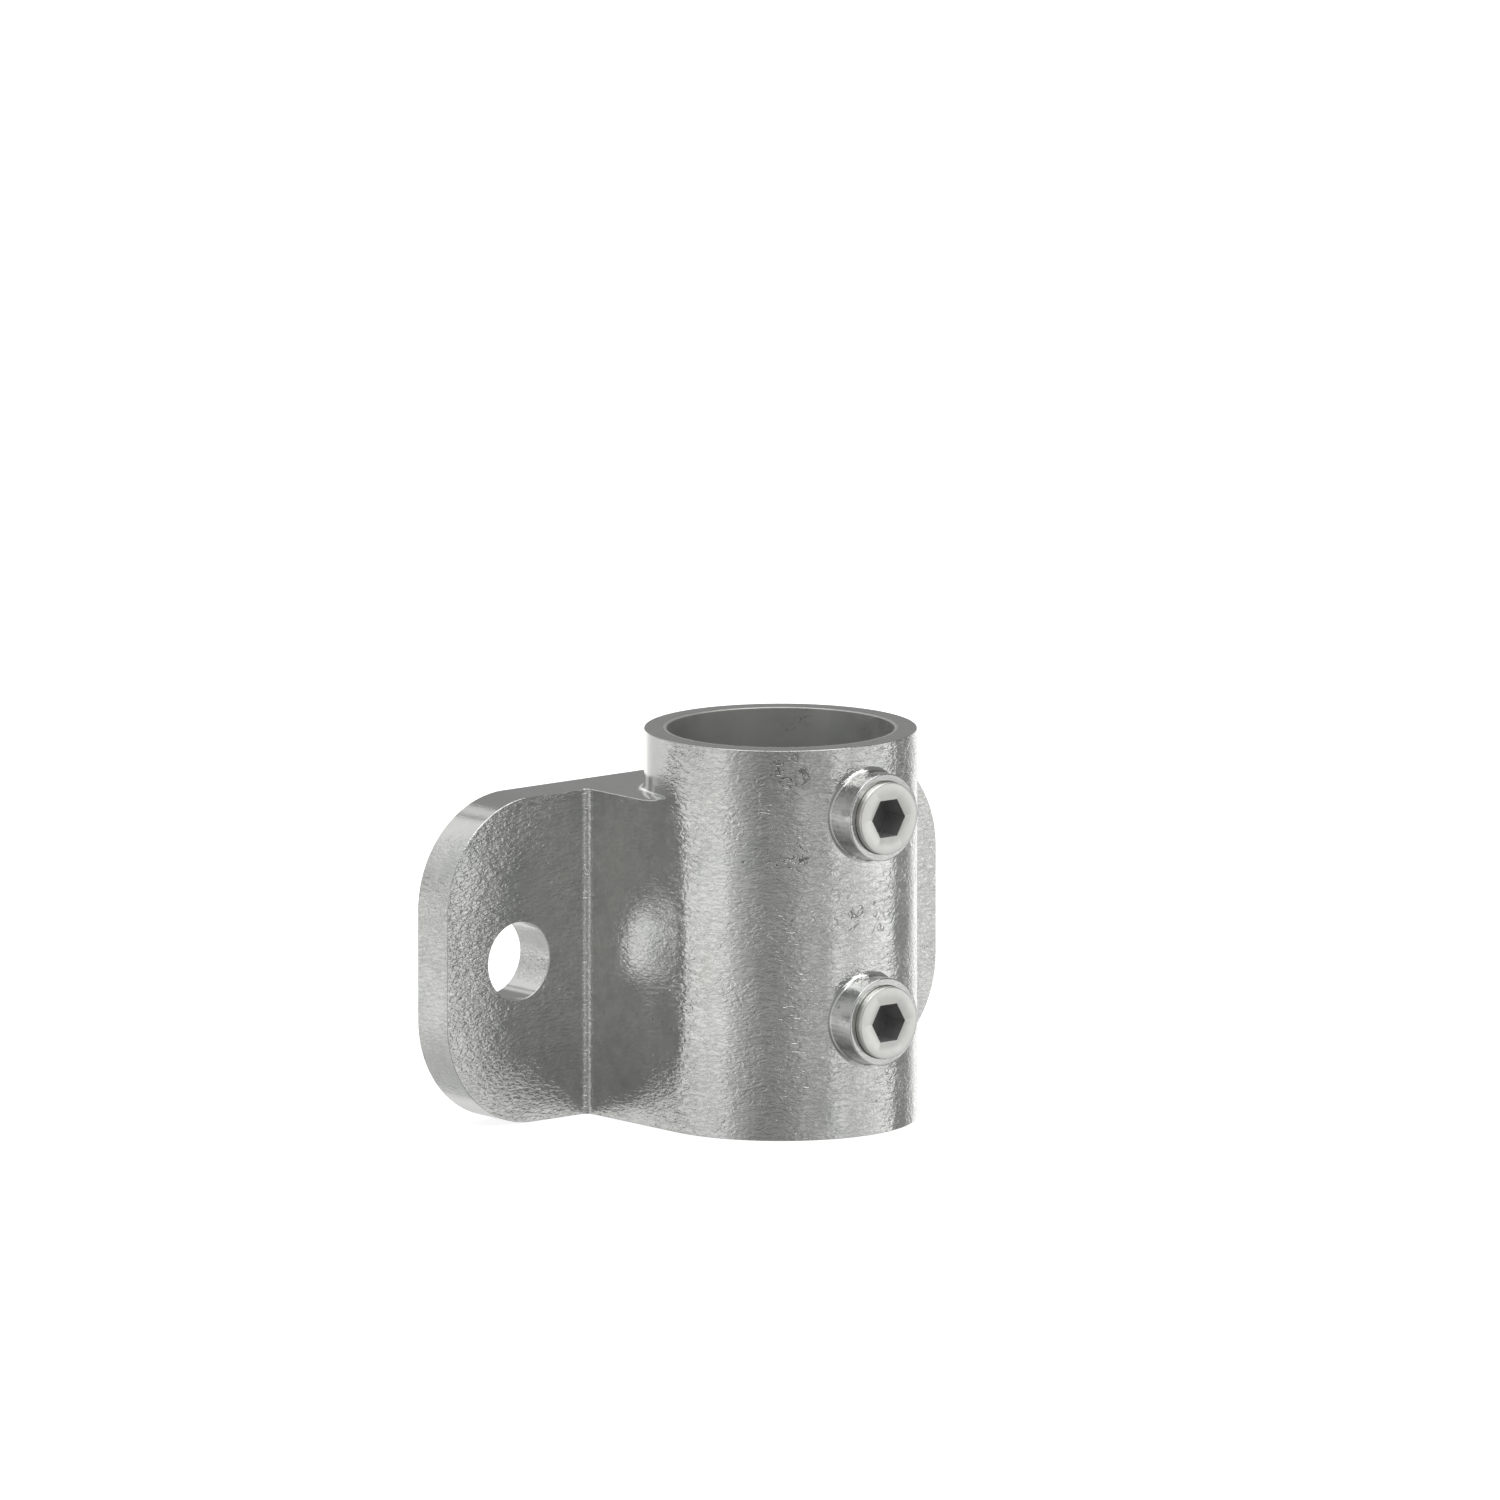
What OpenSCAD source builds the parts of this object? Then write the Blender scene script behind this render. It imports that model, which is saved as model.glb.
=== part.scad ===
// Wall bracket with an upright round socket: one iron casting and two socket set screws.
// The bore runs along Z through X = 0, Y = 0. The wall is on the +Y side, and the set
// screws face -Y. The casting stands on Z = 0. Every length is in millimetres.

/* [Socket] */
// Nominal size of the socket: the outside diameter that fits it
nominal_d = 48.3; // [46:0.1:52]
// Bore diameter less the nominal size
bore_play = 0.7; // [0.4:0.1:1.2]
// Wall thickness of the socket
socket_wall = 4.85; // [4.5:0.05:7]
// Height of the plain neck, from the top of the plate to the top of the socket
neck_h = 14; // [8:0.5:30]
// Radius of the fillet at the foot of the neck
neck_fillet_r = 2; // [1:0.25:3]

/* [Wall plate] */
// Height of the plate, and of the web that joins it to the socket
plate_h = 71; // [62:0.5:90]
// Thickness of the plate
plate_t = 10; // [8:0.5:14]
// Distance between the back of the socket and the front of the plate
web_depth = 0.15; // [0.1:0.05:10]
// Reach of each lug, from the side of the web to the end of the plate
lug_reach = 39.15; // [35:0.05:55]
// Radius of the plate's four outer corners
lug_corner_r = 23.7; // [12:0.1:28]
// Radius of the fillets between the lugs and the web
lug_fillet_r = 1.6; // [0.5:0.1:3]
// Diameter of the bolt holes
bolt_hole_d = 17; // [10:0.5:18]
// Distance from each bolt hole's centre to its end of the plate
bolt_hole_inset = 20; // [14:0.5:24]

/* [Screw bosses] */
// Diameter of the bosses
boss_d = 19; // [18.4:0.1:22]
// Height of a boss above the front of the socket
boss_rise = 5.2; // [3:0.1:8]
// Radius of the rounded outer edge of a boss
boss_edge_r = 0.3; // [0.2:0.1:0.8]
// Radius of the fillet that blends a boss into the socket
boss_fillet_r = 1.4; // [0.8:0.1:2]
// Distance from the top of the socket to the upper screw's axis
upper_screw_drop = 15; // [14:0.5:18]
// Height of the lower screw's axis above the foot of the casting
lower_screw_z = 25.5; // [16:0.5:30]

/* [Set screws] */
// Diameter of the set screws, over the thread
screw_d = 15.7; // [14:0.1:16.5]
// Diameter of the tapped hole less the diameter of its screw
thread_play = 0.1; // [0.06:0.02:0.3]
// How far a screw stands out of its boss
screw_proud = 1.6; // [1:0.1:3]
// How far a screw's tip stays back from the bore
tip_setback = 0.1; // [0.05:0.05:1]
// Radius of the rounded outer edge of a screw
screw_edge_r = 0.3; // [0.2:0.1:0.8]
// Width across the flats of the hexagon socket
key_af = 8; // [6:0.5:9]
// Depth of the hexagon socket
key_depth = 5.5; // [4.5:0.5:6]
// Width of the chamfer round the mouth of the hexagon socket
key_chamfer = 0.3; // [0.2:0.1:0.6]
// Diameter of the flat rim at the tip
tip_rim_d = 11; // [10:0.5:12]
// Length of the chamfer that narrows the screw to its tip
tip_chamfer = 1.5; // [0.5:0.25:2]
// Diameter of the hollow cup in the tip
cup_d = 9; // [6:0.5:9.5]
// Depth of the hollow cup in the tip
cup_depth = 2; // [1:0.25:2.5]

/* [Hidden] */
$fn = 96;

// Overlap of shapes that are fused, and overrun of shapes that are cut away
lap = 0.5;
// Depth to which the ends of a blend dip under the surfaces that it joins
blend_dip = 0.05;
// Sections round a boss, and facets from end to end of its blend
blend_sections = 60;
blend_facets = 5;

bore_r = (nominal_d + bore_play) / 2;
socket_r = bore_r + socket_wall;
socket_h = plate_h + neck_h;
plate_front_y = socket_r + web_depth;
wall_y = plate_front_y + plate_t;
plate_w = 2 * (socket_r + lug_reach);
bolt_hole_x = plate_w / 2 - bolt_hole_inset;
boss_r = boss_d / 2;
boss_face_y = socket_r + boss_rise;
screw_r = screw_d / 2;
tapped_r = screw_r + thread_play / 2;
screw_tip_y = bore_r + tip_setback;
screw_l = boss_face_y + screw_proud - screw_tip_y;
screw_heights = [socket_h - upper_screw_drop, lower_screw_z];
iron_grey = [0.70, 0.71, 0.70];
steel_grey = [0.83, 0.83, 0.81];

// A rectangle centred on the Y axis and standing on the X axis, with round corners
module rounded_rectangle(width, height, corner_r) {
    translate([-width / 2 + corner_r, 0]) square([width - 2 * corner_r, height]);
    translate([-width / 2, corner_r]) square([width, height - 2 * corner_r]);
    for (side = [-1, 1], y = [corner_r, height - corner_r])
        translate([side * (width / 2 - corner_r), y]) circle(corner_r);
}

// Section of a concave fillet in the corner where a wall on the left meets a floor below
module fillet_section(fillet_r) {
    difference() {
        translate([-lap, -lap]) square(fillet_r + lap);
        translate([fillet_r, fillet_r]) circle(fillet_r);
    }
}

// A round bar along Z whose far edge is rounded
module round_edged_bar(bar_r, bar_l, edge_r) {
    rotate_extrude() {
        square([bar_r, bar_l - edge_r]);
        square([bar_r - edge_r, bar_l]);
        translate([bar_r - edge_r, bar_l - edge_r]) circle(edge_r);
    }
}

// Turns a shape made along Z so that it points out of the screw side, at height z
module facing_out(z) {
    translate([0, 0, z]) rotate([90, 0, 0]) children();
}

// Plate with its two lugs, from its front to the wall
module wall_plate() {
    translate([0, wall_y, 0]) rotate([90, 0, 0])
        linear_extrude(plate_t) rounded_rectangle(plate_w, plate_h, lug_corner_r);
}

// Solid web between the socket and the plate, with a fillet against each lug
module web() {
    translate([-socket_r, 0, 0]) cube([2 * socket_r, plate_front_y + lap, plate_h]);
    for (side = [0, 1])
        mirror([side, 0, 0])
            translate([socket_r, plate_front_y, 0])
                mirror([0, 1, 0]) linear_extrude(plate_h) fillet_section(lug_fillet_r);
}

// Fillet round the foot of the neck, trimmed to the sides of the web
module neck_fillet() {
    intersection() {
        rotate_extrude() translate([socket_r, plate_h]) fillet_section(neck_fillet_r);
        translate([-socket_r, 0, plate_h - lap])
            cube([2 * socket_r, socket_r + neck_fillet_r + lap, neck_fillet_r + 2 * lap]);
    }
}

// Centre of a ball that rolls round a boss in the corner between boss and socket
function ball_centre(turn, boss_gap, socket_gap) = [
    boss_gap * cos(turn),
    -sqrt(pow(socket_gap, 2) - pow(boss_gap * cos(turn), 2)),
    boss_gap * sin(turn)
];

// Point a share of the way along the shorter arc between two directions
function along_arc(from, to, share) =
    let (whole = acos(from * to))
    (sin((1 - share) * whole) * from + sin(share * whole) * to) / sin(whole);

// One section of the blend: the arc that the ball leaves, closed by a point inside the metal
function blend_section(turn) =
    let (
        boss_gap = boss_r - blend_dip + boss_fillet_r,
        socket_gap = socket_r - blend_dip + boss_fillet_r,
        centre = ball_centre(turn, boss_gap, socket_gap),
        to_boss = [-cos(turn), 0, -sin(turn)],
        to_socket = -[centre.x, centre.y, 0] / socket_gap
    )
    concat(
        [for (i = [0:blend_facets])
            centre + boss_fillet_r * along_arc(to_boss, to_socket, i / blend_facets)],
        [ball_centre(turn, boss_r - lap, socket_r - lap)]
    );

// Blend between a boss and the round socket: a ring of sections about the boss's axis
module boss_blend() {
    per_section = blend_facets + 2;
    points = [for (i = [0:blend_sections - 1]) each blend_section(360 * i / blend_sections)];
    function at(i, j) = (i % blend_sections) * per_section + j % per_section;
    faces = [
        for (i = [0:blend_sections - 1], j = [0:per_section - 1])
            each [
                [at(i, j), at(i + 1, j), at(i + 1, j + 1)],
                [at(i, j), at(i + 1, j + 1), at(i, j + 1)]
            ]
    ];
    polyhedron(points, faces);
}

// Everything that is cast, before the holes are made
module rough_casting() {
    cylinder(h = socket_h, r = socket_r);
    web();
    wall_plate();
    neck_fillet();
    for (z = screw_heights) {
        facing_out(z) round_edged_bar(boss_r, boss_face_y, boss_edge_r);
        translate([0, 0, z]) boss_blend();
    }
}

// Tapped hole from the bore's axis out through a boss
module tapped_hole() {
    cylinder(h = boss_face_y + lap, r = tapped_r);
}

// Bolt holes through both lugs
module bolt_holes() {
    for (side = [-1, 1])
        translate([side * bolt_hole_x, wall_y + lap, plate_h / 2]) rotate([90, 0, 0])
            cylinder(h = plate_t + 2 * lap, d = bolt_hole_d);
}

module casting() {
    color(iron_grey)
        difference() {
            rough_casting();
            translate([0, 0, -lap]) cylinder(h = socket_h + 2 * lap, r = bore_r);
            for (z = screw_heights)
                facing_out(z) tapped_hole();
            bolt_holes();
        }
}

// Hexagon socket that goes down from Z = 0, with its mouth chamfered on all six sides
module key_socket() {
    corner_r = key_af / 2 / cos(30);
    flare = key_chamfer + lap;
    translate([0, 0, -key_depth]) cylinder(h = key_depth + lap, r = corner_r, $fn = 6);
    translate([0, 0, -key_chamfer])
        linear_extrude(flare, scale = 1 + 2 * flare / key_af) circle(corner_r, $fn = 6);
}

// A cup-point set screw along Z, with its tip at Z = 0 and its hexagon socket at the far end
module set_screw() {
    difference() {
        round_edged_bar(screw_r, screw_l, screw_edge_r);
        translate([0, 0, screw_l]) key_socket();
        rotate_extrude()
            polygon([
                [tip_rim_d / 2, -lap], [tip_rim_d / 2, 0], [screw_r, tip_chamfer],
                [screw_r + lap, tip_chamfer], [screw_r + lap, -lap]
            ]);
        translate([0, 0, -lap])
            cylinder(h = lap + cup_depth, r1 = cup_d / 2 * (1 + lap / cup_depth), r2 = 0);
    }
}

// A set screw home in the tapped hole at height z
module fitted_screw(z) {
    color(steel_grey) facing_out(z) translate([0, 0, screw_tip_y]) set_screw();
}

module upper_set_screw() {
    fitted_screw(screw_heights[0]);
}

module lower_set_screw() {
    fitted_screw(screw_heights[1]);
}

casting();
upper_set_screw();
lower_set_screw();
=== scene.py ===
import math

import bmesh
import bpy
from mathutils import Matrix, Vector


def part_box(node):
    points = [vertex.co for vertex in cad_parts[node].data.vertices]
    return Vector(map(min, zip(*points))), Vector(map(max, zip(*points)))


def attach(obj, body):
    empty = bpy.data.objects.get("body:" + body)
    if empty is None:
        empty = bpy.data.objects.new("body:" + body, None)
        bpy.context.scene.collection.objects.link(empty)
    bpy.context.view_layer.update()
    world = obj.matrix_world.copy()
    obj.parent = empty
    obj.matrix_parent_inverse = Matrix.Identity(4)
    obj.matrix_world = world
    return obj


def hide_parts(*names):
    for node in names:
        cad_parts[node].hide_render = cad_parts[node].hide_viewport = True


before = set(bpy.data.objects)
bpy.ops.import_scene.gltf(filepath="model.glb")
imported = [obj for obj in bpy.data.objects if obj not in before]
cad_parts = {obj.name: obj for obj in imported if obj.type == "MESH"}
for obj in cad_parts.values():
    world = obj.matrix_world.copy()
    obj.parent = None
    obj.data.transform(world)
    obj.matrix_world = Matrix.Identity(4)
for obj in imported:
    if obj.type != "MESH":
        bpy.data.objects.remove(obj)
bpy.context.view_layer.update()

MM = 0.001

# Camera: a very long lens, turned and tilted as in the photograph
VIEW_TURN = math.radians(39.9)
VIEW_TILT = math.radians(10.08)
PHOTO_SIDE = 1500
PIXELS_PER_METRE = 4653.6
SOCKET_AXIS_U = 780.5
FOOT_CENTRE_V = 1116.6
LENS_MM = 1500
SENSOR_MM = 36
CLIP_NEAR = 1
CLIP_FAR = 100


def camera():
    """Camera whose frame is the photograph's, aimed from where the socket's foot stands in it."""
    right = Vector((math.cos(VIEW_TURN), -math.sin(VIEW_TURN), 0))
    ahead = Vector((math.sin(VIEW_TURN) * math.cos(VIEW_TILT),
                    math.cos(VIEW_TURN) * math.cos(VIEW_TILT), -math.sin(VIEW_TILT)))
    up = right.cross(ahead)
    middle = PHOTO_SIDE / 2
    target = (right * (middle - SOCKET_AXIS_U) + up * (FOOT_CENTRE_V - middle)) / PIXELS_PER_METRE
    frame_width = PHOTO_SIDE / PIXELS_PER_METRE
    data = bpy.data.cameras.new("camera")
    data.lens = LENS_MM
    data.sensor_width = SENSOR_MM
    data.clip_start = CLIP_NEAR
    data.clip_end = CLIP_FAR
    cam = bpy.data.objects.new("camera", data)
    cam.location = target - ahead * frame_width * LENS_MM / SENSOR_MM
    cam.rotation_mode = "QUATERNION"
    cam.rotation_quaternion = ahead.to_track_quat("-Z", "Y")
    bpy.context.scene.collection.objects.link(cam)
    bpy.context.scene.camera = cam


class Nodes:
    """Short way to add nodes to a tree and to wire their inputs."""

    def __init__(self, tree):
        self.tree = tree
        tree.nodes.clear()

    def set(self, socket, value):
        """Wires an output to the socket, or writes a plain value on it."""
        if isinstance(value, bpy.types.NodeSocket):
            self.tree.links.new(value, socket)
        else:
            socket.default_value = value

    def add(self, kind, settings=None, **inputs):
        """New node: the settings are its own properties, and the rest are its inputs by name."""
        made = self.tree.nodes.new(kind)
        for name, value in (settings or {}).items():
            setattr(made, name, value)
        for name, value in inputs.items():
            self.set(made.inputs[name.replace("_", " ")], value)
        return made

    def math(self, operation, *values):
        made = self.add("ShaderNodeMath", {"operation": operation})
        for socket, value in zip(made.inputs, values):
            self.set(socket, value)
        return made.outputs[0]

    def product(self, first, *others):
        for other in others:
            first = self.math("MULTIPLY", first, other)
        return first

    def highest(self, first, *others):
        for other in others:
            first = self.math("MAXIMUM", first, other)
        return first

    def one_less(self, share, mask):
        """1 where the mask is 0, and 1 less the share where the mask is 1."""
        return self.math("MULTIPLY_ADD", mask, -share, 1.0)

    def distance(self, first, second):
        """Length of a line from its two legs, which are at right angles."""
        squares = [self.math("MULTIPLY", leg, leg) for leg in (first, second)]
        return self.math("SQRT", self.math("ADD", *squares))

    def step(self, value, span, low=0.0, high=1.0):
        """Soft step from low to high while the value goes from the span's start to its end."""
        start, end = span
        made = self.add("ShaderNodeMapRange", {"interpolation_type": "SMOOTHSTEP"}, Value=value,
                        From_Min=start, From_Max=end, To_Min=low, To_Max=high)
        return made.outputs[0]

    def between(self, value, start, end, edge):
        """Mask that is 1 from start to end, with soft edges inside them."""
        return self.product(self.step(value, (start, start + edge)), self.step(value, (end, end - edge)))

    def ramp(self, factor, stops, interpolation="LINEAR"):
        """Colour ramp whose stops are (place, grey or colour)."""
        made = self.add("ShaderNodeValToRGB", Fac=factor)
        colours = made.color_ramp
        colours.interpolation = interpolation
        while len(colours.elements) < len(stops):
            colours.elements.new(1)
        for element, (place, shade) in zip(colours.elements, stops):
            element.position = place
            element.color = (*shade, 1) if isinstance(shade, tuple) else (shade, shade, shade, 1)
        return made.outputs["Color"]

    def mix(self, factor, first, second, blend="MIX"):
        made = self.add("ShaderNodeMix", {"data_type": "RGBA", "blend_type": blend})
        for index, value in ((0, factor), (6, first), (7, second)):
            self.set(made.inputs[index], value)
        return made.outputs[2]

    def noise(self, place, scale, detail=2.0, roughness=0.5, distortion=0.0):
        return self.add("ShaderNodeTexNoise", Vector=place, Scale=scale, Detail=detail,
                        Roughness=roughness, Distortion=distortion).outputs["Fac"]


def new_material(name):
    material = bpy.data.materials.new(name)
    material.use_nodes = True
    return material, Nodes(material.node_tree)


# The studio, as polished metal mirrors it. Panels stand round the object, with dark gaps between
# them. Their bearings go round from the camera: 0 is behind it, and 90 is on its right.
BRIGHTEST = 2.5
LOW_PANELS = [
    (-180, 1.0), (-158, 1.3), (-148, 0.95), (-138, 0.84), (-104, 0.87), (-90, 0.86), (-75, 0.95),
    (-60, 0.86), (-48, 0.94), (-43, 0.61), (-30, 0.46), (-22, 0.38), (-17, 0.305), (-4, 0.325),
    (8, 0.36), (15, 0.46), (21, 0.57), (32, 0.52), (41, 0.54), (46, 0.84), (54, 0.93), (62, 0.70),
    (76, 0.94), (104, 1.15), (109, 0.92), (114, 0.33), (134, 0.31), (148, 0.77), (158, 1.3),
    (180, 1.0),
]
HIGH_PANELS = [
    (-180, 0.30), (-164, 0.32), (-158, 0.73), (-152, 0.73), (-148, 0.34), (-142, 0.34),
    (-136, 0.72), (-50, 0.76), (-36, 0.53), (-14, 0.31), (8, 0.31), (26, 0.32), (46, 0.34),
    (60, 0.30), (108, 0.30), (180, 0.30),
]
# The low panels brighten upwards: rises, and shares of their brightness, from and to
LOW_SLOPE = (-24, 4)
LOW_SHARES = (0.7, 1.3)
# Rises at which the low panels give way to the high ones
HORIZON = (-3, 6)
# Soft boxes and darker gaps before the panels, then the ceiling's bright ring and its middle. Each
# covers those before it: bearing from and to, rise from and to, brightness.
ALL_ROUND = (-190, 190)
SOFT_BOXES = [
    (-134, -64, 2, 32, 0.66),
    (-134, -64, -4, 12, 0.38),
    (4, 78, 34, 56, 2.3),
    (58, 112, 5, 24, 0.8),
    (-148, -98, 28, 56, 0.85),
    (*ALL_ROUND, 55, 76, 2.4),
    (*ALL_ROUND, 72, 100, 1.1),
]
SOFT_EDGE = 5


def studio():
    """World: white to the camera itself, and the panels and soft boxes to everything else."""
    world = bpy.data.worlds.new("studio")
    world.use_nodes = True
    bpy.context.scene.world = world
    n = Nodes(world.node_tree)
    coords = n.add("ShaderNodeTexCoord")
    turned = n.add("ShaderNodeVectorRotate", {"rotation_type": "Z_AXIS"},
                   Vector=coords.outputs["Generated"], Angle=VIEW_TURN)
    x, y, z = n.add("ShaderNodeSeparateXYZ", Vector=turned.outputs[0]).outputs
    # After the turn the camera stands on -Y, so its own bearing is 0
    bearing = n.math("DEGREES", n.math("ARCTAN2", x, n.math("MULTIPLY", y, -1.0)))
    rise = n.math("DEGREES", n.math("ARCSINE", z))
    round_share = n.math("MULTIPLY_ADD", bearing, 1 / 360, 0.5)
    low_panels, high_panels = (
        n.ramp(round_share, [((stop + 180) / 360, shade / BRIGHTEST) for stop, shade in panels], "EASE")
        for panels in (LOW_PANELS, HIGH_PANELS)
    )
    low_panels = n.mix(1.0, low_panels, n.step(rise, LOW_SLOPE, *LOW_SHARES), "MULTIPLY")
    seen = n.mix(n.step(rise, HORIZON), low_panels, high_panels)
    for left, right, bottom, top, shade in SOFT_BOXES:
        mask = n.product(n.between(bearing, left, right, SOFT_EDGE),
                         n.between(rise, bottom, top, SOFT_EDGE))
        glow = shade / BRIGHTEST
        seen = n.mix(mask, seen, (glow, glow, glow, 1))
    lit = n.add("ShaderNodeBackground", Color=seen, Strength=BRIGHTEST)
    plain = n.add("ShaderNodeBackground", Color=(1, 1, 1, 1), Strength=1.0)
    to_camera = n.add("ShaderNodeLightPath").outputs["Is Camera Ray"]
    both = n.add("ShaderNodeMixShader", Fac=to_camera)
    n.set(both.inputs[1], lit.outputs[0])
    n.set(both.inputs[2], plain.outputs[0])
    n.add("ShaderNodeOutputWorld", Surface=both.outputs[0])


FLOOR_RADIUS = 6
FLOOR_SIDES = 64
FLOOR_GREY = 0.7
FLOOR_GLOW = 0.75
FLOOR_DROP = 0.1 * MM


def floor():
    """Plain pale floor. It keeps the object's shadow, and reads as white away from it."""
    bm = bmesh.new()
    bmesh.ops.create_circle(bm, cap_ends=True, segments=FLOOR_SIDES, radius=FLOOR_RADIUS)
    mesh = bpy.data.meshes.new("floor")
    bm.to_mesh(mesh)
    bm.free()
    made = bpy.data.objects.new("floor", mesh)
    made.location.z = -FLOOR_DROP
    bpy.context.scene.collection.objects.link(made)
    material, n = new_material("floor_white")
    matt = n.add("ShaderNodeBsdfDiffuse", Color=(FLOOR_GREY, FLOOR_GREY, FLOOR_GREY, 1))
    to_camera = n.add("ShaderNodeLightPath").outputs["Is Camera Ray"]
    glow = n.add("ShaderNodeEmission", Color=(1, 1, 1, 1),
                 Strength=n.math("MULTIPLY", to_camera, FLOOR_GLOW))
    both = n.add("ShaderNodeAddShader")
    n.set(both.inputs[0], matt.outputs[0])
    n.set(both.inputs[1], glow.outputs[0])
    n.add("ShaderNodeOutputMaterial", Surface=both.outputs[0])
    mesh.materials.append(material)
    made.visible_glossy = False


SCREWS = ("upper_set_screw", "lower_set_screw")

# Sizes and places on the casting, in millimetres: its box, and the source's sizes within it
casting_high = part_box("casting")[1] / MM
BORE_R = 24.5
SOCKET_WALL = 4.85
SOCKET_R = BORE_R + SOCKET_WALL
BOSS_R = 9.5
LUG_FILLET_R = 1.6
PLATE_T = 10
PLATE_FRONT = casting_high.y - PLATE_T
NECK_H = 14
NECK_FILLET_R = 2
PLATE_TOP = casting_high.z - NECK_H
NECK_FILLET_TOP = PLATE_TOP + NECK_FILLET_R

# Soft steps from the socket backwards, along y in millimetres, and upwards, along z
BOSS_SUNK = (-28, -20)
NECK_BACK = (-1.0, 1.5)
NECK_BACK_BARE = (0, 7)
GRAIN_CHANGE = (0, 8)
RELIEF_CHANGE = (0, 12)
MARKS_FADE = (4, 20)
PLATE_START = (PLATE_FRONT - 1.5, PLATE_FRONT - 0.9)
FOOT_RISE = (6, 26)
NECK_RISE = (PLATE_TOP - 5, PLATE_TOP + 7)
# How level a face is, from where it counts as smooth: anywhere, and on the plate's round corners
LEVEL_FACE = (0.86, 0.97)
LEVEL_CORNER = (0.62, 0.8)

# Noise patterns of the skin: scale, detail, roughness and distortion. A pattern that marks places
# is followed by the noise levels between which it does so.
SOCKET_WRINKLES = (760, 2.0, 0.5, 1.2)
PLATE_WRINKLES = (1150, 2.0, 0.55, 0.6)
RARE_FLAWS = (85, 2.0)
RARE_LEVELS = (0.70, 0.74)
LINE_CONTOURS = (380, 2.0, 0.5, 1.2)
LINE_BREAKS = (290, 1.0)
BREAK_LEVELS = (0.42, 0.50)
PITTED_PLACES = (120, 1.0)
PITTED_LEVELS = (0.60, 0.68)
UNEVEN_PLACES = (80, 1.0)
UNEVEN_LEVELS = (0.35, 0.65)
MOTTLE = (300, 5.0, 0.7)
PATCHES = (75, 3.0)

# The wrinkles are drawn out round the socket: how much their pattern is packed along x, y and z
DRAWN_OUT = (0.6, 0.6, 1.4)
RELIEF_DEPTH = 0.14 * MM
# Strength of the relief: from place to place on the socket, its share on the web and what the plate
# has more than that, and the shares lost in the bore, on the bosses and where the skin is smooth
UNEVEN_RELIEF = (0.9, 1.9)
WEB_RELIEF = 0.6
PLATE_EXTRA = 0.42
BORE_LOSS = 0.7
BOSS_LOSS = 0.65
SMOOTH_LOSS = 0.9

# Clusters of short lines on the front of the socket, in millimetres: x, y, z and reach
FLAWS = [(-17.6, -23.4, 61.5, 6.0), (2.7, -29.2, 45.8, 3.2), (-17.1, -23.8, 80.3, 5.5)]
FLAW_CORE = 0.6
LINE_WIDTH = (0.040, 0.010)
PIT_CELLS = 420
PIT_WIDTH = (0.20, 0.06)
MARK_DEPTH = 0.35
# The pits and lines are darkened with painted shade, as well as sunk by the bump
MARK_SHADE = 0.75
REAR_MARKS = 0.3
MARK_PAINTED_SHADE_COLOUR = (0.17, 0.17, 0.16, 1)

ZINC_SPAN = (0.3, 0.7)
ZINC_COLOURS = ((0.668, 0.668, 0.657), (0.772, 0.772, 0.760))
ZINC_ROUGHNESS = (0.09, 0.17)
PATCH_TINTS = [(0.3, (0.93, 0.955, 0.94)), (0.45, (0.99, 0.99, 0.99)), (0.7, (1.04, 1.04, 1.02))]
# Painted shade: the neck and the bosses are darkened, and the foot for the floor's shadow it mirrors
NECK_PAINTED_SHADE = 0.87
BOSS_PAINTED_SHADE = 0.90
FOOT_PAINTED_SHADE = 0.90
SMOOTH_MOTTLE_LOSS = 0.7
MID_MOTTLE = (0.5, 0.5, 0.5, 1)
BORE_ROUGHNESS = 0.3


def zinc_wrinkles(n, place, y):
    """Small wrinkles in which the zinc froze, finer on the web and the plate than on the socket."""
    drawn_out = n.add("ShaderNodeMapping", Vector=place, Scale=DRAWN_OUT).outputs[0]
    return n.mix(n.step(y, GRAIN_CHANGE), n.noise(drawn_out, *SOCKET_WRINKLES),
                 n.noise(drawn_out, *PLATE_WRINKLES))


def casting_marks(n, place, place_mm, y):
    """Scattered pits, and short cold-shut lines in the clusters on the front and rare ones elsewhere."""
    flawed = n.step(n.noise(place, *RARE_FLAWS), RARE_LEVELS)
    for *centre, reach in FLAWS:
        gap = n.add("ShaderNodeVectorMath", {"operation": "DISTANCE"}, Vector=place_mm)
        n.set(gap.inputs[1], centre)
        flawed = n.highest(flawed, n.step(gap.outputs["Value"], (reach, reach * FLAW_CORE)))
    contour = n.math("ABSOLUTE", n.math("SUBTRACT", n.noise(place, *LINE_CONTOURS), 0.5))
    lines = n.product(n.step(contour, LINE_WIDTH),
                      n.step(n.noise(place, *LINE_BREAKS), BREAK_LEVELS), flawed)
    cells = n.add("ShaderNodeTexVoronoi", Vector=place, Scale=PIT_CELLS, Randomness=1.0)
    pits = n.product(n.step(cells.outputs["Distance"], PIT_WIDTH),
                     n.step(n.noise(place, *PITTED_PLACES), PITTED_LEVELS))
    return n.product(n.highest(pits, lines), n.step(y, MARKS_FADE, 1.0, REAR_MARKS))


def boss_mask(n, x, y, z):
    """The round bosses of the screws, down to where they sink into the socket."""
    sunk = n.step(y, BOSS_SUNK, 0, 20)
    mask = 0.0
    for screw in SCREWS:
        low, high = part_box(screw)
        off_screw = n.distance(x, n.math("SUBTRACT", z, (low.z + high.z) / 2 / MM))
        mask = n.highest(mask, n.step(n.math("ADD", off_screw, sunk), (BOSS_R + 1.5, BOSS_R + 0.3)))
    return mask


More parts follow.
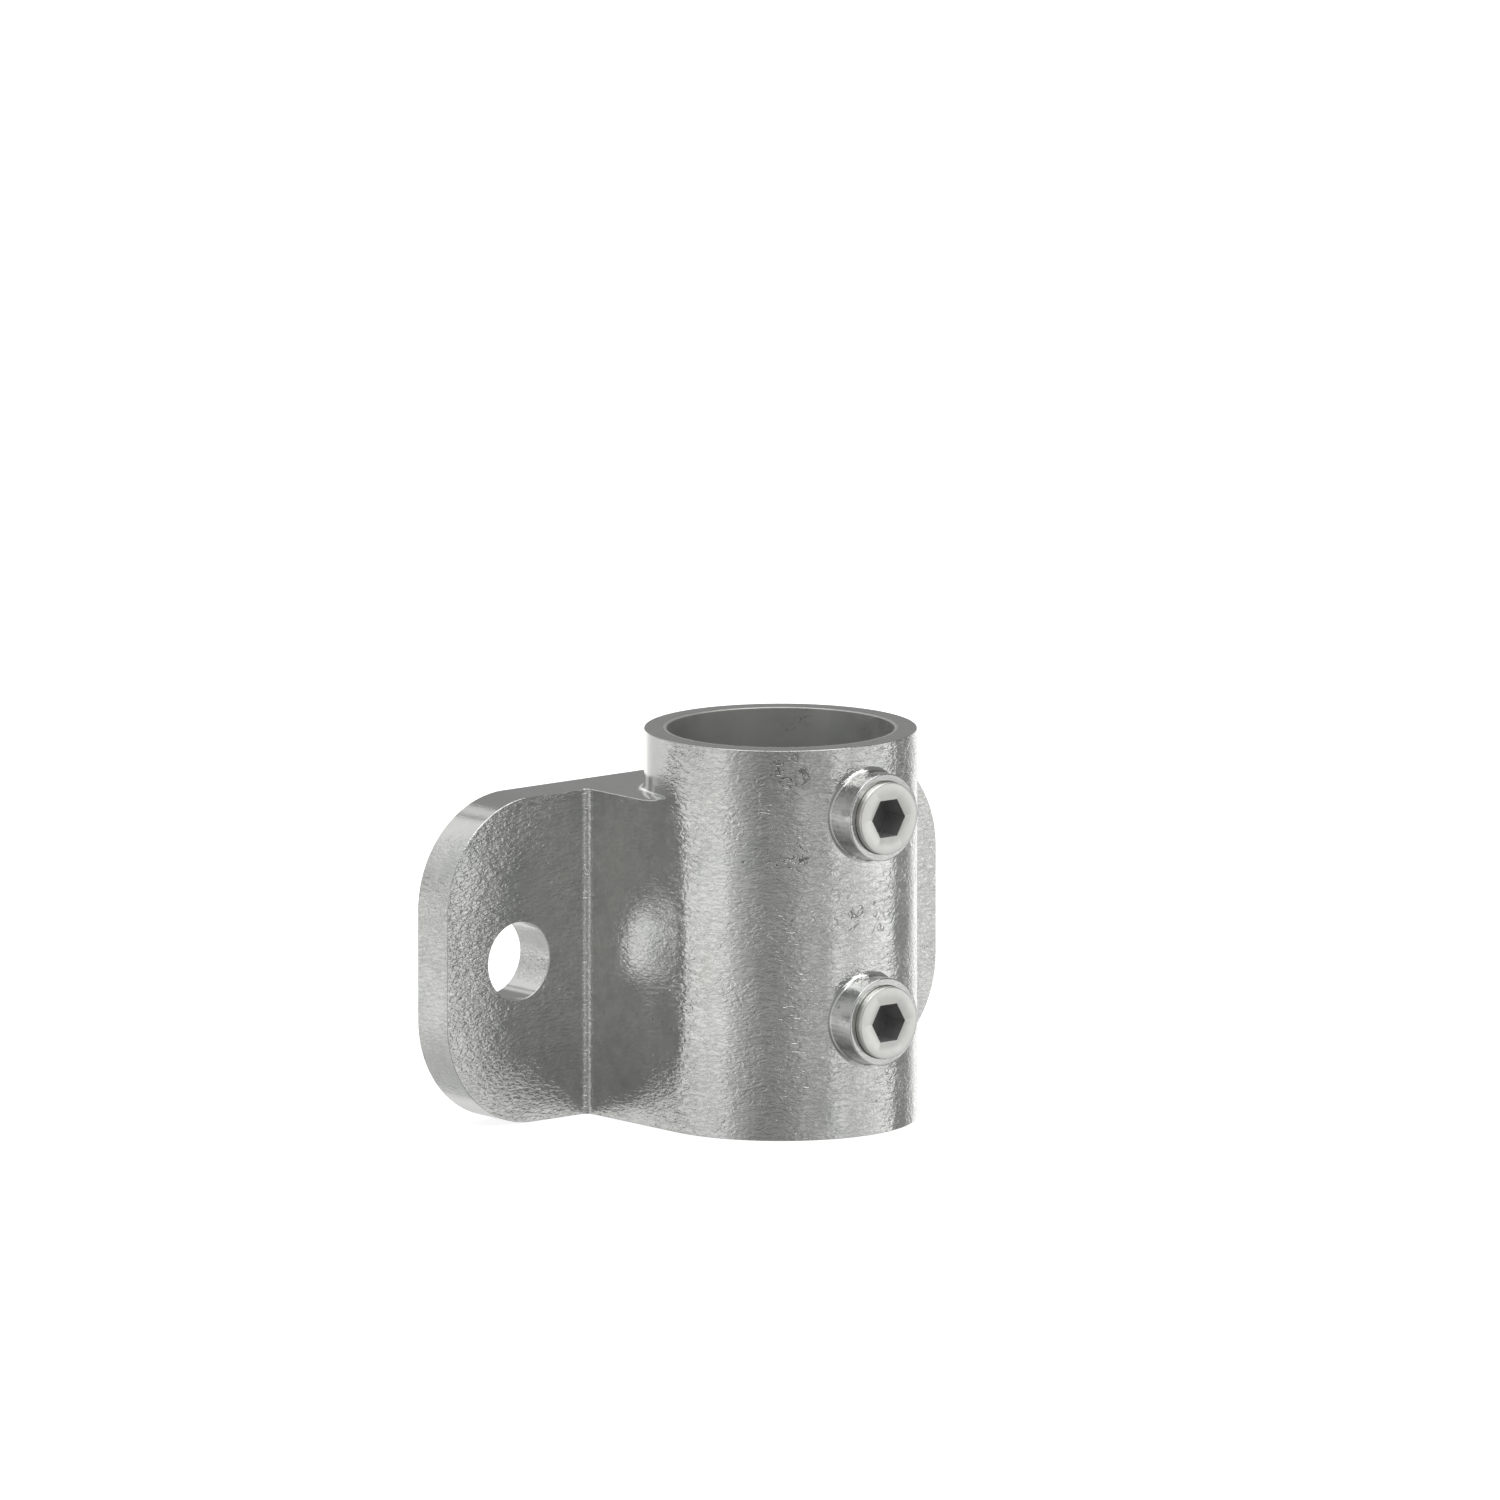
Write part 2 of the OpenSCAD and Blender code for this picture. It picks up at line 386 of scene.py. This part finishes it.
def lug_fillet_mask(n, x, y):
    """The fillets between the lugs and the web, where the skin is rougher."""
    across = n.math("ABSOLUTE", x)
    front = PLATE_FRONT - LUG_FILLET_R
    outer = SOCKET_R + LUG_FILLET_R
    return n.product(n.step(y, (front - 0.3, front)), n.step(y, (PLATE_FRONT + 0.3, PLATE_FRONT)),
                     n.step(across, (SOCKET_R - 0.15, SOCKET_R + 0.05)),
                     n.step(across, (outer + 0.25, outer - 0.05)))


def smooth_mask(n, y, z):
    """What came out smooth: level faces, the plate's round corners, the neck's back and its fillet."""
    normal = n.add("ShaderNodeNewGeometry").outputs["Normal"]
    level = n.math("ABSOLUTE", n.add("ShaderNodeSeparateXYZ", Vector=normal).outputs["Z"])
    corner = n.product(n.step(level, LEVEL_CORNER),
                       n.step(y, (PLATE_FRONT - 0.2, PLATE_FRONT + 0.1)))
    neck = n.product(n.step(z, (PLATE_TOP - 0.2, PLATE_TOP + 0.2)), n.step(y, NECK_BACK),
                     n.highest(n.step(z, (NECK_FILLET_TOP + 0.6, NECK_FILLET_TOP - 0.2)),
                               n.step(y, NECK_BACK_BARE)))
    return n.highest(n.step(level, LEVEL_FACE), corner, neck)


def relief_strength(n, place, x, y, in_bore):
    """Strength of the relief: the socket is wrinkled most, and the web and the bore less."""
    uneven = n.step(n.noise(place, *UNEVEN_PLACES), UNEVEN_LEVELS, *UNEVEN_RELIEF)
    behind = n.math("ADD", n.step(y, RELIEF_CHANGE, 1.0, WEB_RELIEF),
                    n.step(y, PLATE_START, 0.0, PLATE_EXTRA))
    return n.math("MULTIPLY_ADD", n.product(n.one_less(BORE_LOSS, in_bore), uneven), behind,
                  lug_fillet_mask(n, x, y))


def zinc_colour(n, place, z, mottle, marks, boss):
    """Grey of the zinc: mottled and patchy, with painted shade on the neck, the foot and the bosses."""
    base = n.ramp(mottle, list(zip(ZINC_SPAN, ZINC_COLOURS)))
    tint = n.ramp(n.noise(place, *PATCHES), PATCH_TINTS)
    # Painted shade: darker on the neck, on the bosses and towards the foot
    painted_shade = n.product(n.step(z, NECK_RISE, 1.0, NECK_PAINTED_SHADE), n.one_less(1 - BOSS_PAINTED_SHADE, boss),
                       n.step(z, FOOT_RISE, FOOT_PAINTED_SHADE, 1.0))
    shade = n.mix(1.0, n.mix(1.0, base, tint, "MULTIPLY"), painted_shade, "MULTIPLY")
    # Painted shade darkens the pits and lines
    return n.mix(n.math("MULTIPLY", marks, MARK_SHADE), shade, MARK_PAINTED_SHADE_COLOUR)


def galvanised_iron():
    """Hot-dip zinc on a sand casting: glossy mottled grey with wrinkles, pits and a few lines."""
    material, n = new_material("galvanised_iron")
    place = n.add("ShaderNodeTexCoord").outputs["Object"]
    place_mm = n.add("ShaderNodeVectorMath", {"operation": "SCALE"}, Vector=place,
                     Scale=1 / MM).outputs["Vector"]
    x, y, z = n.add("ShaderNodeSeparateXYZ", Vector=place_mm).outputs
    in_bore = n.step(n.distance(x, y), (BORE_R + 1.0, BORE_R + 0.5))
    boss = boss_mask(n, x, y, z)
    smooth = smooth_mask(n, y, z)
    marks = casting_marks(n, place, place_mm, y)

    height = n.math("MULTIPLY_ADD", marks, -MARK_DEPTH, zinc_wrinkles(n, place, y))
    relief = n.product(relief_strength(n, place, x, y, in_bore), n.one_less(BOSS_LOSS, boss),
                       n.one_less(SMOOTH_LOSS, smooth))
    bump = n.add("ShaderNodeBump", Strength=relief, Distance=RELIEF_DEPTH, Height=height)

    mottle = n.mix(n.math("MULTIPLY", smooth, SMOOTH_MOTTLE_LOSS), n.noise(place, *MOTTLE), MID_MOTTLE)
    uneven_gloss = n.add("ShaderNodeMapRange", Value=mottle, From_Min=ZINC_SPAN[0],
                         From_Max=ZINC_SPAN[1], To_Min=ZINC_ROUGHNESS[0], To_Max=ZINC_ROUGHNESS[1])
    roughness = n.math("MULTIPLY_ADD", in_bore, BORE_ROUGHNESS, uneven_gloss.outputs[0])
    skin = n.add("ShaderNodeBsdfPrincipled", Base_Color=zinc_colour(n, place, z, mottle, marks, boss),
                 Metallic=1.0, Roughness=roughness, Normal=bump.outputs[0])
    n.add("ShaderNodeOutputMaterial", Surface=skin.outputs[0])
    return material


# Finish of the set screws. Their recess attribute is 0 outside, -1 on the mouth of the key socket,
# up to 1 down its walls and more on its floor.
MOUTH = -1
WALL_FOOT = 1
KEY_FLOOR = 1.5
STEEL_CLOUDS = (420, 3.0)
PLATED = [(0.3, (0.735, 0.733, 0.70)), (0.7, (0.79, 0.788, 0.753))]
STEEL_RELIEF = 0.02 * MM
# Painted shade down the walls of the key socket, and darker painted shade on its floor
KEY_WALL_PAINTED_SHADE = (0.62, 0.62, 0.62, 1)
KEY_FLOOR_PAINTED_SHADE = (0.20, 0.20, 0.20, 1)
STEEL_ROUGHNESS = 0.32
WALL_ROUGHNESS = 0.55
MOUTH_ROUGHNESS = 0.7


def zinc_steel():
    """Pale satin zinc plate of the set screws. Deep in the key socket it is darkened with painted shade.
    """
    material, n = new_material("zinc_steel")
    place = n.add("ShaderNodeTexCoord").outputs["Object"]
    recess = n.add("ShaderNodeAttribute", {"attribute_name": "recess"}).outputs["Fac"]
    cloud = n.noise(place, *STEEL_CLOUDS)
    # Painted shade: the key socket's walls and floor get darker with depth
    shade = n.mix(n.step(recess, (0, WALL_FOOT)), n.ramp(cloud, PLATED), KEY_WALL_PAINTED_SHADE)
    shade = n.mix(n.step(recess, (WALL_FOOT, KEY_FLOOR - 0.1)), shade, KEY_FLOOR_PAINTED_SHADE)
    bump = n.add("ShaderNodeBump", Strength=1.0, Distance=STEEL_RELIEF, Height=cloud)
    roughness = n.highest(n.step(recess, (0, WALL_FOOT), STEEL_ROUGHNESS, WALL_ROUGHNESS),
                          n.step(recess, (0, MOUTH), STEEL_ROUGHNESS, MOUTH_ROUGHNESS))
    skin = n.add("ShaderNodeBsdfPrincipled", Base_Color=shade, Metallic=1.0, Roughness=roughness,
                 Normal=bump.outputs[0])
    n.add("ShaderNodeOutputMaterial", Surface=skin.outputs[0])
    return material


MERGE_GAP = 1e-7
FLAT_ANGLE = math.radians(0.4)
EDGE_BREAK = 0.2 * MM
EDGE_ANGLE = math.radians(50)
SCREW_EDGE_ANGLE = math.radians(35)


def link_piece(name, bm, material, node, edge_angle):
    """Makes a smooth piece with sharp edges that rides on the body and stands in for one node."""
    for face in bm.faces:
        face.smooth = True
    mesh = bpy.data.meshes.new(name)
    bm.to_mesh(mesh)
    bm.free()
    mesh.materials.append(material)
    mesh.set_sharp_from_angle(angle=edge_angle)
    made = bpy.data.objects.new(name, mesh)
    bpy.context.scene.collection.objects.link(made)
    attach(made, "root")
    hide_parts(node)
    return made


def casting_skin(material):
    """The casting with its sharp edges slightly broken: a merged copy of the frame's solid."""
    bm = bmesh.new()
    bm.from_mesh(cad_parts["casting"].data)
    bmesh.ops.remove_doubles(bm, verts=bm.verts, dist=MERGE_GAP)
    bmesh.ops.dissolve_limit(bm, angle_limit=FLAT_ANGLE, verts=bm.verts, edges=bm.edges)
    sharp = [edge for edge in bm.edges if edge.is_manifold and edge.calc_face_angle_signed() > EDGE_ANGLE]
    bmesh.ops.bevel(bm, geom=sharp, offset=EDGE_BREAK, affect="EDGES", segments=2, profile=0.5,
                    clamp_overlap=False, material=-1)
    made = link_piece("casting_skin", bm, material, "casting", EDGE_ANGLE)
    even = made.modifiers.new("even_shading", "WEIGHTED_NORMAL")
    even.keep_sharp = True


# Set screws, in millimetres. Depths go inwards from the outer face, and a circle of the point's
# radius closes each end.
ROUND_STEPS = 96
POINT_R = 0.01
RIM_R = 0.3
RIM_STEPS = 4
THREAD_START = 2.2
THREAD_PITCH = 2.0
THREAD_DEPTH = 1.2
STEPS_PER_TURN = 12
TIP_CHAMFER = 1.5
# From the middle of the cup to the chamfer: distance back from the tip's end, and radius
TIP_PROFILE = [(2.0, POINT_R), (0.02, 4.45), (0.0, 4.55), (0.0, 5.45), (0.1, 5.6)]
KEY_AF = 8.0
KEY_DEPTH = 5.5
KEY_MOUTH = 0.06
DRILL_DEPTH = 6.3
# Key socket from the outer face to its floor: depth, width across flats, and recess
KEY_PROFILE = [
    (0.0, KEY_AF + 0.15, 0), (0.01, KEY_AF + 0.12, MOUTH), (KEY_MOUTH, KEY_AF, MOUTH),
    (KEY_MOUTH + 0.02, KEY_AF, 0.6), (KEY_MOUTH + 0.6, KEY_AF, 0.8), (KEY_DEPTH, KEY_AF, WALL_FOOT),
    (KEY_DEPTH, KEY_AF - 0.1, KEY_FLOOR),
]


def circle_ring(radius):
    return lambda turn: radius


def hexagon_ring(across_flats):
    """Distance from the centre to a hexagon's side, with corners at turn 0 and every 60 degrees."""
    return lambda turn: across_flats / 2 / math.cos(turn % (math.pi / 3) - math.pi / 6)


def thread_ring(crest_r, depth_in, fade):
    """Distance from the axis to a V thread at a depth below the outer face."""
    def radius(turn):
        share = (depth_in / THREAD_PITCH + turn / (2 * math.pi)) % 1
        return crest_r - THREAD_DEPTH * fade * abs(2 * share - 1)
    return radius


def screw_rings(screw_r, length):
    """Rings of a set screw from the cup in its tip to the key socket: depth, radius and recess."""
    rings = [(length - back, circle_ring(radius), 0) for back, radius in TIP_PROFILE]
    thread_end = length - TIP_CHAMFER
    steps = int((thread_end - THREAD_START) / THREAD_PITCH * STEPS_PER_TURN)
    for i in range(steps):
        depth_in = thread_end + (THREAD_START - thread_end) * i / steps
        fade = min(1, (steps - i) / STEPS_PER_TURN)
        rings.append((depth_in, thread_ring(screw_r, depth_in, fade), 0))
    rings.append((THREAD_START, circle_ring(screw_r), 0))
    for i in range(RIM_STEPS + 1):
        turn = math.pi / 2 * i / RIM_STEPS
        rim_r = screw_r - RIM_R + RIM_R * math.cos(turn)
        rings.append((RIM_R - RIM_R * math.sin(turn), circle_ring(rim_r), 0))
    rings += [(depth_in, hexagon_ring(width), deep) for depth_in, width, deep in KEY_PROFILE]
    rings.append((DRILL_DEPTH, circle_ring(POINT_R), KEY_FLOOR))
    return rings


def move_ring(verts, recess, depth_in, radius, deep):
    """Moves each vertex, at its turn about the Y axis, to a ring's depth and radius."""
    for vert in verts:
        turn = math.atan2(vert.co.z, vert.co.x)
        r = radius(turn)
        vert.co = (r * math.cos(turn), depth_in, r * math.sin(turn))
        vert[recess] = deep


def screw_skin(node, material):
    """A set screw as one surface: a small circle is extruded from ring to ring along the screw."""
    low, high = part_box(node)
    outer_face = Vector((0, low.y, (low.z + high.z) / 2))
    first, *others = screw_rings((high.x - low.x) / 2 / MM, (high.y - low.y) / MM)
    bm = bmesh.new()
    recess = bm.verts.layers.float.new("recess")
    bmesh.ops.create_circle(bm, cap_ends=True, segments=ROUND_STEPS, radius=1,
                            matrix=Matrix.Rotation(math.pi / 2, 4, "X"))
    move_ring(bm.verts, recess, *first)
    rim = list(bm.edges)
    for ring in others:
        grown = bmesh.ops.extrude_edge_only(bm, edges=rim)["geom"]
        rim = [part for part in grown if isinstance(part, bmesh.types.BMEdge) and part.is_boundary]
        move_ring([part for part in grown if isinstance(part, bmesh.types.BMVert)], recess, *ring)
    bmesh.ops.contextual_create(bm, geom=rim)
    bmesh.ops.recalc_face_normals(bm, faces=bm.faces)
    bmesh.ops.transform(bm, matrix=Matrix.Translation(outer_face) @ Matrix.Scale(MM, 4), verts=bm.verts)
    link_piece(node + "_skin", bm, material, node, SCREW_EDGE_ANGLE)


bpy.context.scene.view_settings.view_transform = "Standard"
camera()
studio()
floor()
casting_skin(galvanised_iron())
steel = zinc_steel()
for name in SCREWS:
    screw_skin(name, steel)
